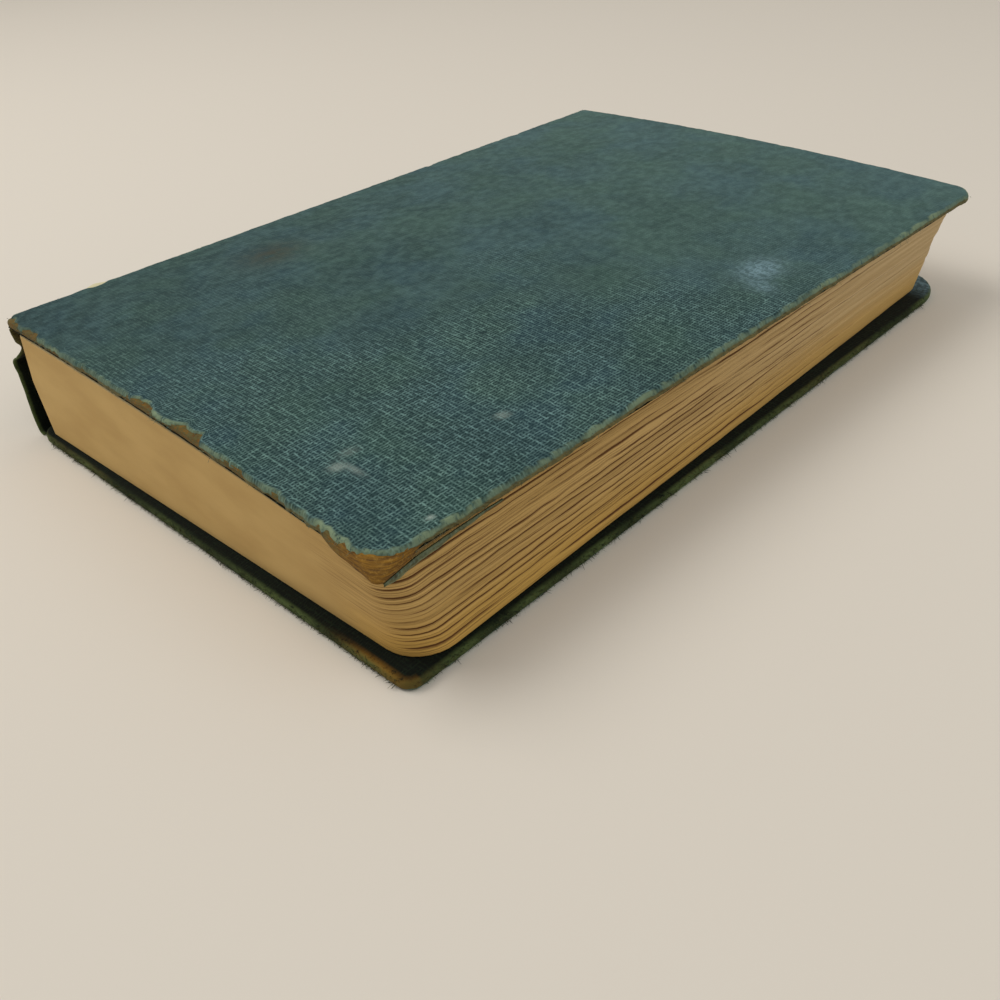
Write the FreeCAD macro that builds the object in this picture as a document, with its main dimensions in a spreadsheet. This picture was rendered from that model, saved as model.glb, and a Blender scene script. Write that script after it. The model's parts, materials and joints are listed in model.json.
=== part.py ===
"""An old cloth-bound hardback book, closed and lying on its back cover.

The book rests on z = 0 with its spine towards -X, its fore-edge towards +X and its head towards +Y. The origin is
under the middle of the back cover. The front cover slopes down from the swollen spine to the fore-edge, bows up a
little across its width, and has slewed round on the leaning block of pages.
"""
import FreeCAD, Part
import math
import os

Vector = FreeCAD.Vector
Rotation = FreeCAD.Rotation
Placement = FreeCAD.Placement

SIZES = {
    "cover_height": 190.5,
    "cover_width": 127.0,
    "board_thickness": 1.4,
    "cloth_thickness": 0.35,
    "endpaper_thickness": 0.15,
    "glue_gap": 0.05,
    "turn_in": 15.0,
    "pastedown_margin": 4.0,
    "cover_bevel": 0.5,
    "cover_corner": 2.0,
    "head_corner": 5.0,
    "back_head_corner": 9.0,
    "cloth_corner": 7.0,
    "board_corner": 1.2,
    "crown_rise": 1.43,
    "cover_slew": 1.17,
    "cover_shift_side": -0.8,
    "cover_shift_along": 1.05,
    "tear_depth": 1.3,
    "tear_width": 10.0,
    "first_tear": 15.0,
    "second_tear": 75.0,
    "page_height": 182.0,
    "page_setback": 3.8,
    "pages_at_fore_edge": 21.44,
    "spine_swelling": 2.63,
    "running_gap": 0.3,
    "leaf_corner_top": 4.0,
    "leaf_corner_bottom": 8.0,
    "spine_corner": 1.0,
    "gathering_count": 14,
    "groove_width": 0.22,
    "groove_depth": 0.45,
    "groove_wrap": 6.0,
    "lining_thickness": 0.3,
    "lining_inset": 5.0,
    "lining_height": 17.0,
    "inlay_thickness": 0.5,
    "inlay_inset": 6.0,
    "inlay_gap": 0.2,
    "hinge_gap": 0.4,
    "joint_groove_drop": 3.6,
    "joint_groove_room": 1.0,
    "strip_top_drop": 8.4,
    "strip_shoulder": 3.0,
    "strip_foot": 2.4,
    "strip_outset": 2.2,
    "overrun": 20.0,
    "overcut": 0.5,
}

# How the block of pages leans: at each level, how far its fore and tail corner stands in from the two edges of the
# back cover, how far its fore-edge and its tail edge are turned, and how far the back of the folds is set in.
LEANS = {
    "bottom": {"fore_in": 0.8, "tail_in": 3.45, "fore_turn": 1.1, "tail_turn": 1.0, "set_in": 2.0},
    "middle": {"fore_in": 1.6, "tail_in": 0.95, "fore_turn": 0.2, "tail_turn": -0.2, "set_in": 1.0},
    "top": {"fore_in": 1.5, "tail_in": -1.25, "fore_turn": -0.6, "tail_turn": -1.4, "set_in": 2.7},
}

doc = FreeCAD.newDocument("hardback_book")
sheet = doc.addObject("Spreadsheet::Sheet", "sizes")
row = 0
for name, value in SIZES.items():
    row += 1
    sheet.set("A%d" % row, name)
    sheet.set("B%d" % row, str(value))
    sheet.setAlias("B%d" % row, name)
for level, lean in LEANS.items():
    for name, value in lean.items():
        row += 1
        alias = "%s_%s" % (level, name)
        sheet.set("A%d" % row, alias)
        sheet.set("B%d" % row, str(value))
        sheet.setAlias("B%d" % row, alias)
doc.recompute()


def size(name):
    """A driving dimension read from the sheet."""
    return float(sheet.get(name))


def bind(obj, **sizes):
    """Bind properties to expressions in which a bare word in braces is a cell of the sheet."""
    for name, text in sizes.items():
        obj.setExpression(name.replace("__", "."), text.replace("{", "sizes.").replace("}", ""))


# Levels through a cover, from its inner face outwards
COVER = "(2 * {cloth_thickness} + {board_thickness} + 3 * {glue_gap} + {endpaper_thickness})"
TURN_IN_FLOOR = "({endpaper_thickness} + {glue_gap})"
POCKET_FLOOR = "({endpaper_thickness} + {glue_gap} + {cloth_thickness})"
POCKET_ROOF = "(%s - {cloth_thickness})" % COVER
BOARD_FLOOR = "(%s + {glue_gap})" % POCKET_FLOOR
BOARD_ROOF = "(%s - {glue_gap})" % POCKET_ROOF

# The underside of the bowed front cover is part of a cylinder that lies along the book
CROWN_RADIUS = "(({cover_width}^2 / 4 + {crown_rise}^2) / (2 * {crown_rise}))"

cover_thickness = (2 * size("cloth_thickness") + size("board_thickness") + 3 * size("glue_gap")
                   + size("endpaper_thickness"))


def prism(name, inset, floor, height, radii):
    """An upright prism of a cover's outline, set in all round, with its four corners rounded."""
    box = doc.addObject("Part::Box", name + "_box")
    bind(box, Length="{cover_width} - 2 * " + inset, Width="{cover_height} - 2 * " + inset, Height=height,
         Placement__Base__x=inset, Placement__Base__y=inset, Placement__Base__z=floor)
    corner_edges = {"spine_tail": 1, "spine_head": 3, "fore_tail": 5, "fore_head": 7}
    rounded = doc.addObject("Part::Fillet", name + "_outline")
    rounded.Base = box
    rounded.Edges = [(corner_edges[corner], radius, radius) for corner, radius in radii.items()]
    return rounded


def crown(name, level):
    """A cylinder whose surface is one level of the bowed front cover."""
    rod = doc.addObject("Part::Cylinder", name)
    rod.Placement = Placement(Vector(0, 0, 0), Rotation(Vector(1, 0, 0), -90))
    bind(rod, Radius="%s + %s" % (CROWN_RADIUS, level), Height="{cover_height} + 2 * {overrun}",
         Placement__Base__x="{cover_width} / 2", Placement__Base__y="-{overrun}",
         Placement__Base__z="{crown_rise} - " + CROWN_RADIUS)
    return rod


def boolean(kind, name, base, tool):
    """A Part boolean of two objects."""
    result = doc.addObject("Part::" + kind, name)
    result.Base = base
    result.Tool = tool
    return result


def layer(side, name, inset, floor, roof, radii):
    """One layer of a cover between two levels, set in all round: bowed on the front, flat on the back."""
    if side == "back":
        return prism(name, inset, "%s - (%s)" % (COVER, roof), "(%s) - (%s)" % (roof, floor), radii)
    upright = prism(name, inset, "-{overrun}", "3 * {overrun}", radii)
    shell = boolean("Cut", name + "_bow", crown(name + "_over", roof), crown(name + "_under", floor))
    return boolean("Common", name, upright, shell)


def bevelled_rims(name, base, width):
    """Bevel every edge of a layer but its upright corners."""
    doc.recompute()
    rims = []
    for number, edge in enumerate(base.Shape.Edges, 1):
        first, last = edge.Vertexes[0].Point, edge.Vertexes[-1].Point
        if math.hypot(first.x - last.x, first.y - last.y) > 0.01:
            rims.append((number, width, width))
    bevelled = doc.addObject("Part::Chamfer", name)
    bevelled.Base = base
    bevelled.Edges = rims
    return bevelled


def tear(name, place):
    """A shallow scoop where the cloth is worn off the tail edge of the front board."""
    radius = "({tear_width}^2 / 4 + {tear_depth}^2) / (2 * {tear_depth})"
    scoop = doc.addObject("Part::Cylinder", name)
    bind(scoop, Radius=radius, Height="{overrun}", Placement__Base__x=place,
         Placement__Base__y="{tear_depth} - " + radius, Placement__Base__z=BOARD_FLOOR)
    return scoop


def same_corners(radius):
    """The same radius at all four corners."""
    return {corner: radius for corner in ("spine_tail", "spine_head", "fore_tail", "fore_head")}


def cover(side, placement):
    """Board, cloth and pastedown of one cover, in the cover's own place and then set on the book."""
    corner = size("cover_corner")
    cloth_radii = same_corners(corner)
    board_radii = same_corners(corner - size("cloth_thickness"))
    if side == "front":
        cloth_radii["fore_tail"] = size("cloth_corner")
        cloth_radii["fore_head"] = size("head_corner")
        board_radii["fore_tail"] = size("board_corner")
        board_radii["fore_head"] = size("head_corner") - size("cloth_thickness")
    else:
        cloth_radii["fore_head"] = size("back_head_corner")
        board_radii["fore_head"] = size("back_head_corner") - size("cloth_thickness")
    inset = "{cloth_thickness}"
    board_inset = "({cloth_thickness} + {glue_gap})"
    board = layer(side, side + "_board", board_inset, BOARD_FLOOR, BOARD_ROOF, board_radii)
    outside = layer(side, side + "_wrap", "0", TURN_IN_FLOOR, COVER, cloth_radii)
    wrap = bevelled_rims(side + "_wrap_bevelled", outside, size("cover_bevel"))
    pocket = layer(side, side + "_pocket", inset, POCKET_FLOOR, POCKET_ROOF, board_radii)
    window = layer(side, side + "_window", "{turn_in}", TURN_IN_FLOOR + " - {overcut}", POCKET_FLOOR + " + {overcut}",
                   same_corners(corner))
    cloth = boolean("Cut", side + "_emptied", wrap, pocket)
    cloth = boolean("Cut", side + "_cloth_open", cloth, window)
    if side == "front":
        for name in ("first_tear", "second_tear"):
            cloth = boolean("Cut", name + "_cut", cloth, tear(name, "{%s}" % name))
    paste = layer(side, side + "_pastedown", "{pastedown_margin}", "0", "{endpaper_thickness}", same_corners(0.5))
    for label, piece in (("_board", board), ("_pastedown", paste)):
        piece.Label = side + label
        piece.Placement = placement
    cloth.Label = "cover_cloth_" + side
    cloth.Placement = placement
    return [board, cloth, paste]


# Where the covers lie
half_width = size("cover_width") / 2
half_height = size("cover_height") / 2
back_place = Placement(Vector(-half_width, -half_height, 0), Rotation())
slope = math.degrees(math.atan2(size("spine_swelling"), size("cover_width")))
pages_floor = cover_thickness + size("running_gap")
front_floor = pages_floor + size("pages_at_fore_edge") + size("spine_swelling") + size("running_gap")
front_turn = Rotation(Vector(0, 0, 1), -size("cover_slew")).multiply(Rotation(Vector(0, 1, 0), slope))
front_corner = Vector(size("cover_shift_side") - half_width, size("cover_shift_along") - half_height, front_floor)
front_place = Placement(front_corner, front_turn)

nodes = cover("back", back_place) + cover("front", front_place)


def corners(level):
    """The four corners of the pages at one level: spine and tail, fore and tail, fore and head, spine and head."""
    lean = {name: size("%s_%s" % (level, name)) for name in LEANS[level]}
    fore, tail = math.radians(lean["fore_turn"]), math.radians(lean["tail_turn"])
    up = Vector(-math.sin(fore), math.cos(fore), 0)
    out = Vector(math.cos(tail), math.sin(tail), 0)
    fore_tail = Vector(half_width - lean["fore_in"], lean["tail_in"] - half_height, 0)
    spine_tail = fore_tail - out * (size("cover_width") - size("page_setback") - lean["set_in"])
    rise = up * size("page_height")
    return [spine_tail, fore_tail, fore_tail + rise, spine_tail + rise]


def outline(points, radii, height):
    """A closed outline at one height, with each corner an arc of its own radius."""
    edges, ends = [], []
    count = len(points)
    for index, point in enumerate(points):
        before = (points[index - 1] - point).normalize()
        after = (points[(index + 1) % count] - point).normalize()
        half = before.getAngle(after) / 2
        reach = radii[index] / math.tan(half)
        middle = (before + after).normalize() * (radii[index] / math.sin(half) - radii[index])
        ends.append([point + before * reach, point + middle, point + after * reach])
    lift = Vector(0, 0, height)
    for index, (start, middle, end) in enumerate(ends):
        edges.append(Part.Arc(start + lift, middle + lift, end + lift).toShape())
        follow = ends[(index + 1) % count][0]
        edges.append(Part.LineSegment(end + lift, follow + lift).toShape())
    return Part.Wire(edges)


pages_roof = front_floor + size("crown_rise")
LEVELS = (("bottom", pages_floor), ("middle", (pages_floor + pages_roof) / 2), ("top", pages_roof))


def leaning_block(depth=0, wrap=0, backing=0):
    """The leaning, twisted stack of leaves: its fore-edge may be cut back by a depth and its corners rounded more,
    or its folded back moved out by a backing."""
    sections = []
    for share, (level, height) in enumerate(LEVELS):
        leaf = size("leaf_corner_bottom") + (size("leaf_corner_top") - size("leaf_corner_bottom")) * share / 2
        radii = [size("spine_corner"), leaf + wrap, leaf + wrap, size("spine_corner")]
        spine_tail, fore_tail, fore_head, spine_head = corners(level)
        across = (fore_tail - spine_tail).normalize()
        out, back = across * depth, across * backing
        along = (fore_head - fore_tail).normalize() * size("glue_gap") * (1 if wrap else 0)
        points = [spine_tail - back - along, fore_tail - out - along, fore_head - out + along,
                  spine_head - back + along]
        sections.append(outline(points, radii, height))
    return Part.makeLoft(sections, True, True)


def under_cover(gap, height):
    """The space under the bowed front cover, down to the pages' floor, kept clear of the cover by a gap."""
    rise, width = size("crown_rise"), size("cover_width")
    radius = (width ** 2 / 4 + rise ** 2) / (2 * rise)
    place = Vector(width / 2, -size("overrun"), rise - radius)
    rod = Part.makeCylinder(radius - gap, height, place, Vector(0, 1, 0))
    rod.Placement = front_place.multiply(rod.Placement)
    return rod


def gathering_grooves():
    """The thin gaps in the fore-edge between one folded gathering and the next, fanned out towards the spine."""
    count = int(size("gathering_count"))
    blades = []
    for number in range(1, count):
        share = number / count
        blade = Part.makeBox(size("cover_width"), 1.5 * size("cover_height"), size("groove_width"),
                             Vector(size("cover_width") / 4, -0.75 * size("cover_height"), -size("groove_width") / 2))
        middle = pages_floor + share * (size("pages_at_fore_edge") + size("spine_swelling") / 2)
        blade.Placement = Placement(Vector(0, 0, middle), Rotation(Vector(0, 1, 0), slope * share))
        blades.append(blade)
    return Part.makeCompound(blades).cut(leaning_block(size("groove_depth"), size("groove_wrap")))


text_block = doc.addObject("Part::Feature", "text_block")
stack = leaning_block().common(under_cover(size("running_gap"), size("cover_height") + 2 * size("overrun")))
text_block.Shape = stack.cut(gathering_grooves())
text_block.Label = "text_block"

# The lining glued along the folds, short of both ends
lining = doc.addObject("Part::Feature", "spine_lining")
inner, outer = size("glue_gap"), size("glue_gap") + size("lining_thickness")
backed = leaning_block(backing=outer).cut(leaning_block(backing=inner))
tail_limit = max(corners(level)[0].y for level, height in LEVELS) + size("lining_inset")
head_limit = min(corners(level)[3].y for level, height in LEVELS) - size("lining_inset")
reach = Part.makeBox(size("cover_width"), head_limit - tail_limit, size("lining_height"),
                     Vector(-size("cover_width"), tail_limit, pages_floor))
lining.Shape = backed.common(reach)
lining.Label = "spine_lining"


def strip_path(share):
    """The cloth from the front joint over the spine to the rear joint, at the tail (0) or the head (1)."""
    along = Vector(0, size("cover_height") * share, 0)
    front = front_place.multVec(Vector(-size("hinge_gap"), 0, 0) + along)
    middle, top = corners("middle"), corners("top")
    fold_x = [level[0].x + (level[3].x - level[0].x) * share for level in (middle, top)]
    height_share = (front.z - size("joint_groove_drop") - LEVELS[1][1]) / (LEVELS[2][1] - LEVELS[1][1])
    groove_x = fold_x[0] + (fold_x[1] - fold_x[0]) * height_share - size("joint_groove_room")
    outset, foot = size("strip_outset"), size("strip_foot")
    rear_x = -half_width - outset
    front_x = front.x - 0.2 * outset
    return [
        Vector(front.x + 0.75 * size("hinge_gap"), 0, front.z - 0.16 * size("joint_groove_drop")),
        Vector((front.x + groove_x) / 2, 0, front.z - 0.65 * size("joint_groove_drop")),
        Vector(groove_x, 0, front.z - size("joint_groove_drop")),
        Vector((front_x + groove_x) / 2, 0, front.z - 0.72 * size("strip_top_drop")),
        Vector(front_x, 0, front.z - size("strip_top_drop")),
        Vector(front_x + 0.2 * (rear_x - front_x), 0, front.z - size("strip_top_drop") - size("strip_shoulder")),
        Vector((front_x + rear_x) / 2, 0, (front.z - size("strip_top_drop") + foot) / 2),
        Vector(rear_x, 0, foot),
        Vector(rear_x + 0.2 * outset, 0, 0.45 * foot),
        Vector(rear_x + 0.68 * outset, 0, 0.31 * foot),
    ]


def thick_curve(points, start, stop, inner, outer, place):
    """A closed outline of short facets along a curve, from one of its points to another, between two offsets."""
    curve = Part.BSplineCurve()
    curve.interpolate(points)
    first, last = curve.parameter(points[start]), curve.parameter(points[stop])
    sides = {inner: [], outer: []}
    count = 2 * (stop - start)
    for number in range(count + 1):
        value = first + (last - first) * number / count
        tangent = curve.tangent(value)[0]
        right = Vector(-tangent.z, 0, tangent.x)
        for offset, side in sides.items():
            side.append(curve.value(value) + right * offset + Vector(0, place, 0))
    return Part.makePolygon(sides[inner] + sides[outer][::-1] + sides[inner][:1])


tail_end = -half_height + size("cover_shift_along")
head_end = half_height - size("cloth_thickness")
half_cloth = size("cloth_thickness") / 2
spine_cloth = doc.addObject("Part::Feature", "cover_cloth_spine")
cloth_ends = []
for share, place in ((0, tail_end), (1, head_end)):
    cloth_ends.append(thick_curve(strip_path(share), 0, 9, -half_cloth, half_cloth, place))
spine_cloth.Shape = Part.makeLoft(cloth_ends, True, True)
spine_cloth.Label = "cover_cloth_spine"

# The card inside the cloth over the spine, between the two joints
inlay_floor = half_cloth + size("inlay_gap")
inlay_roof = inlay_floor + size("inlay_thickness")
spine_inlay = doc.addObject("Part::Feature", "spine_inlay")
inlay_ends = []
inset_share = size("inlay_inset") / (head_end - tail_end)
for share, place in ((inset_share, tail_end + size("inlay_inset")), (1 - inset_share, head_end - size("inlay_inset"))):
    inlay_ends.append(thick_curve(strip_path(share), 5, 7, inlay_floor, inlay_roof, place))
spine_inlay.Shape = Part.makeLoft(inlay_ends, True, True)
spine_inlay.Label = "spine_inlay"

nodes += [text_block, lining, spine_cloth, spine_inlay]

doc.recompute()
for obj in doc.Objects:
    if "Invalid" in obj.State or "Error" in obj.State:
        raise RuntimeError("%s did not build" % obj.Name)
os.makedirs("parts", exist_ok=True)
for node in nodes:
    if node.Shape.isNull() or not node.Shape.isValid():
        raise RuntimeError("%s has no valid shape" % node.Label)
    print(node.Label, "solids", len(node.Shape.Solids), "volume %.1f" % node.Shape.Volume)
for node in nodes:
    node.Shape.exportStep(os.path.join("parts", node.Label + ".step"))
hinge = front_place.multVec(Vector(-size("hinge_gap"), 0, 0))
axis = front_place.Rotation.multVec(Vector(0, 1, 0))
print("front hinge at", hinge, "along", axis, "rear hinge at", -half_width - size("hinge_gap"))
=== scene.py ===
"""Looks of an old cloth-bound hardback book that lies closed on its back cover.

Sizes are millimetres until a mesh is made. A cover's own place has u across from the spine edge, v along from the
tail edge and w up from its inner face.
"""
import json
import math

import bmesh
import bpy
import numpy as np
from mathutils import Matrix, Vector


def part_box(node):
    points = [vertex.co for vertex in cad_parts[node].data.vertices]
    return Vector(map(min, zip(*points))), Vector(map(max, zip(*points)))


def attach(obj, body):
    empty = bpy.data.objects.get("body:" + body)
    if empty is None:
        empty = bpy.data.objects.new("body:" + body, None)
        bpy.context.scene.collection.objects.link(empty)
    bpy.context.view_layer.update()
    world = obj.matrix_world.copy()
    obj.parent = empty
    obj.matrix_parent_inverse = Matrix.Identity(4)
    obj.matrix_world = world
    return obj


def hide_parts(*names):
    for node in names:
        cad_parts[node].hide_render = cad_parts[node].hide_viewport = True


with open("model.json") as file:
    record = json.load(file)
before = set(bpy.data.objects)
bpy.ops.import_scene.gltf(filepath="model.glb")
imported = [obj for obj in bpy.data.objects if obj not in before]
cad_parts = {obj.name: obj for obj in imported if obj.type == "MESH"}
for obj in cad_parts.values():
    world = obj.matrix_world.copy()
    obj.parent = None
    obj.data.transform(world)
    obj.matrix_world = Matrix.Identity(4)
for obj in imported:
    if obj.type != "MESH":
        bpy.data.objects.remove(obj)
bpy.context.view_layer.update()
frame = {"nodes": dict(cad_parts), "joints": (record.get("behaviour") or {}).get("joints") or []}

MM = 0.001

# Covers
COVER_WIDTH = 127.0
COVER_HEIGHT = 190.5
COVER_THICKNESS = 2.4
CLOTH = 0.35
PAPER = 0.15
GAP = 0.05
TURN_IN = 15.0
GLUED = PAPER + GAP
BOARD_FLOOR = GLUED + CLOTH + GAP
BOARD_ROOF = COVER_THICKNESS - CLOTH - GAP
CROWN_RISE = 1.43
COVER_SLEW = math.radians(1.17)
COVER_SLOPE = math.atan2(2.63, COVER_WIDTH)
HINGE_GAP = 0.4
FRONT_CORNERS = {(0, 0): 2.0, (1, 0): 7.0, (1, 1): 5.0, (0, 1): 2.0}
TURNED_CORNERS = {**FRONT_CORNERS, (1, 0): 8.0}
BACK_CORNERS = {(0, 0): 4.5, (1, 0): 3.0, (1, 1): 13.0, (0, 1): 2.0}
BACK_BOARD_CORNERS = (4.0, 2.4, 12.4, 1.6)
EDGE_ROUND = 0.7
LEAST_HEIGHT = 0.03
JOINT_SHARE = 0.45

# Pages
PAGES_FLOOR = 2.7
PAGE_WIDTH = 123.2
PAGE_HEIGHT = 182.0
HEAD_STEP = 7.5
PAGES_GAP = 0.3
GATHERINGS = 14
LEANS = (
    {"corner": (62.7, -91.8), "fore_turn": 1.1, "tail_turn": 1.0, "set_in": 2.0, "leaf_corner": 8.0},
    {"corner": (61.9, -94.3), "fore_turn": 0.2, "tail_turn": -0.2, "set_in": 1.0, "leaf_corner": 6.0},
    {"corner": (62.0, -96.5), "fore_turn": -0.6, "tail_turn": -1.4, "set_in": 2.7, "leaf_corner": 4.0},
)
LEANS_ROOF = 28.5
FLAT_HEIGHT = 23.0
PARTS = (0.0, 0.05, 0.12, 0.25, 0.42, 0.6, 0.78, 0.9, 0.96)

# Steps round an outline: along its four sides and at each corner, and about how long one is
SIDE_STEPS = (104, 152, 104, 152)
TURNS = 8
OUTLINE_STEP = 1.2

# Weave of the cloth
RIB_PITCH = 0.86
WARP_PITCH = 0.63
CLOTH_MASKS = ("worn", "browned", "bare", "stain", "chalk", "scrape", "crisp")

# The camera, as the photograph was taken
CAMERA_PLACE = (157.3, -161.2, 115.9)
CAMERA_HEADING = math.radians(136.52)
CAMERA_PITCH = math.radians(35.05)
CAMERA_ROLL = math.radians(-4.89)
LENS = 36.64

joints = {joint["name"]: joint for joint in frame["joints"]}
front_hinge = Vector(joints["front_cover_hinge"]["pos_m"]) / MM
front_turn = Matrix.Rotation(-COVER_SLEW, 3, "Z") @ Matrix.Rotation(COVER_SLOPE, 3, "Y")
front_corner = front_hinge + front_turn @ Vector((HINGE_GAP, 0, 0))
front_matrix = np.array(front_turn)
back_corner = np.array((-COVER_WIDTH / 2, -COVER_HEIGHT / 2, 0))


def smooth(low, high, value):
    """Zero below low, one above high, and a smooth ramp between."""
    share = np.clip((np.asarray(value, float) - low) / (high - low), 0, 1)
    return share * share * (3 - 2 * share)


def ripple(value, seed, pitch):
    """Smooth noise between about -1 and 1 along a line."""
    value = np.asarray(value, float)
    table = np.random.default_rng(seed).uniform(-1, 1, 1024)
    place = value / pitch + 300
    cell = np.floor(place).astype(int)
    share = place - cell
    share = share * share * (3 - 2 * share)
    return table[cell % 1024] * (1 - share) + table[(cell + 1) % 1024] * share


def ripple_field(across, along, seed, pitch):
    """Smooth noise between about -1 and 1 over a surface."""
    table = np.random.default_rng(seed).uniform(-1, 1, (128, 128))
    x, y = np.asarray(across, float) / pitch + 40, np.asarray(along, float) / pitch + 40
    column, line = np.floor(x).astype(int), np.floor(y).astype(int)
    a, b = x - column, y - line
    a, b = a * a * (3 - 2 * a), b * b * (3 - 2 * b)
    near = table[column % 128, line % 128] * (1 - a) + table[(column + 1) % 128, line % 128] * a
    far = table[column % 128, (line + 1) % 128] * (1 - a) + table[(column + 1) % 128, (line + 1) % 128] * a
    return near * (1 - b) + far * b


def bow(u):
    """How far the front cover bows up, across its width."""
    return CROWN_RISE * (1 - (2 * np.asarray(u, float) / COVER_WIDTH - 1) ** 2)


def front_place(u, v, w):
    """Points of the front cover in the book's frame."""
    points = np.stack([u, v, w + bow(u)], axis=-1)
    return points @ front_matrix.T + np.array(front_corner)


def back_place(u, v, w):
    """Points of the back cover, whose inner face is up, in the book's frame."""
    return np.stack([u, v, np.maximum(COVER_THICKNESS - np.asarray(w), LEAST_HEIGHT)], axis=-1) + back_corner


def add_mesh(name, points, faces, body, material, flat=None, masks=None, smooth_faces=True):
    """A mesh from points in millimetres, with the cloth's own flat coordinates and masks as attributes."""
    mesh = bpy.data.meshes.new(name)
    mesh.from_pydata((np.asarray(points, float).reshape(-1, 3) * MM).tolist(), [], faces)
    if flat is not None:
        layer = mesh.attributes.new("flat", "FLOAT_VECTOR", "POINT")
        layer.data.foreach_set("vector", np.asarray(flat, np.float32).reshape(-1))
    for mask, values in (masks or {}).items():
        layer = mesh.attributes.new(mask, "FLOAT", "POINT")
        layer.data.foreach_set("value", np.asarray(values, np.float32).reshape(-1))
    mesh.polygons.foreach_set("use_smooth", [smooth_faces] * len(mesh.polygons))
    mesh.materials.append(material)
    mesh.validate()
    if body:
        shell = bmesh.new()
        shell.from_mesh(mesh)
        bmesh.ops.recalc_face_normals(shell, faces=shell.faces)
        shell.to_mesh(mesh)
        shell.free()
    piece = bpy.data.objects.new(name, mesh)
    bpy.context.collection.objects.link(piece)
    if body:
        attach(piece, body)
    return piece


def grid_faces(rows, columns, start=0, closed=False):
    """Quads of a grid whose points are numbered row by row."""
    faces = []
    last = columns if closed else columns - 1
    for row in range(rows - 1):
        for column in range(last):
            a = start + row * columns + column
            b = start + row * columns + (column + 1) % columns
            faces.append((a, b, b + columns, a + columns))
    return faces


# Materials
class Nodes:
    """Short names for the shader nodes of one material."""

    def __init__(self, name):
        self.material = bpy.data.materials.new(name)
        self.material.use_nodes = True
        self.tree = self.material.node_tree
        self.shader = self.tree.nodes["Principled BSDF"]

    def put(self, socket, value):
        if isinstance(value, bpy.types.NodeSocket):
            self.tree.links.new(value, socket)
        else:
            socket.default_value = value

    def math(self, operation, first, second=0.0, third=0.0, clamp=False):
        node = self.tree.nodes.new("ShaderNodeMath")
        node.operation = operation
        node.use_clamp = clamp
        for socket, value in zip(node.inputs, (first, second, third)):
            self.put(socket, value)
        return node.outputs[0]

    def plus(self, first, second):
        return self.math("ADD", first, second)

    def times(self, first, second, clamp=False):
        return self.math("MULTIPLY", first, second, clamp=clamp)

    def fit(self, value, factor, offset, clamp=False):
        return self.math("MULTIPLY_ADD", value, factor, offset, clamp)

    def attribute(self, name, output="Fac"):
        node = self.tree.nodes.new("ShaderNodeAttribute")
        node.attribute_name = name
        return node.outputs[output]

    def place(self):
        return self.tree.nodes.new("ShaderNodeTexCoord").outputs["Object"]

    def split(self, vector):
        node = self.tree.nodes.new("ShaderNodeSeparateXYZ")
        self.put(node.inputs[0], vector)
        return node.outputs

    def join(self, x, y, z):
        node = self.tree.nodes.new("ShaderNodeCombineXYZ")
        for socket, value in zip(node.inputs, (x, y, z)):
            self.put(socket, value)
        return node.outputs[0]

    def noise(self, vector, scale, detail, rough):
        node = self.tree.nodes.new("ShaderNodeTexNoise")
        self.put(node.inputs["Vector"], vector)
        node.inputs["Scale"].default_value = scale
        node.inputs["Detail"].default_value = detail
        node.inputs["Roughness"].default_value = rough
        return node.outputs["Fac"]

    def grain(self, flat, scale, detail, rough=0.5):
        """Noise with its own scale along each axis."""
        node = self.tree.nodes.new("ShaderNodeVectorMath")
        node.operation = "MULTIPLY"
        self.put(node.inputs[0], flat)
        node.inputs[1].default_value = scale
        return self.noise(node.outputs[0], 1.0, detail, rough)

    def ramp(self, value, low, high):
        node = self.tree.nodes.new("ShaderNodeMapRange")
        node.interpolation_type = "SMOOTHSTEP"
        self.put(node.inputs["Value"], value)
        node.inputs["From Min"].default_value = low
        node.inputs["From Max"].default_value = high
        return node.outputs[0]

    def mix(self, share, first, second):
        node = self.tree.nodes.new("ShaderNodeMix")
        node.data_type = "RGBA"
        self.put(node.inputs["Factor"], share)
        self.put(node.inputs["A"], first)
        self.put(node.inputs["B"], second)
        return node.outputs["Result"]

    def mixed(self, share, first, second):
        """A number between two others."""
        return self.fit(share, self.math("SUBTRACT", second, first), first)

    def finish(self, color, height, distance, strength, roughness):
        bump = self.tree.nodes.new("ShaderNodeBump")
        bump.inputs["Strength"].default_value = strength
        bump.inputs["Distance"].default_value = distance * MM
        self.put(bump.inputs["Height"], height)
        self.put(self.shader.inputs["Base Color"], color)
        self.put(self.shader.inputs["Normal"], bump.outputs[0])
        self.put(self.shader.inputs["Roughness"], roughness)
        return self.material


def srgb(red, green, blue):
    """A colour written as it looks on screen, from 0 to 255."""
    linear = [((value / 255 + 0.055) / 1.055) ** 2.4 if value > 10 else value / 3294 for value in (red, green, blue)]
    return (*linear, 1.0)


def tinted(color, *factors):
    """A colour with its red, green and blue each multiplied by a factor."""
    return tuple(channel * factor for channel, factor in zip(color, (*factors, 1)))


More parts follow.
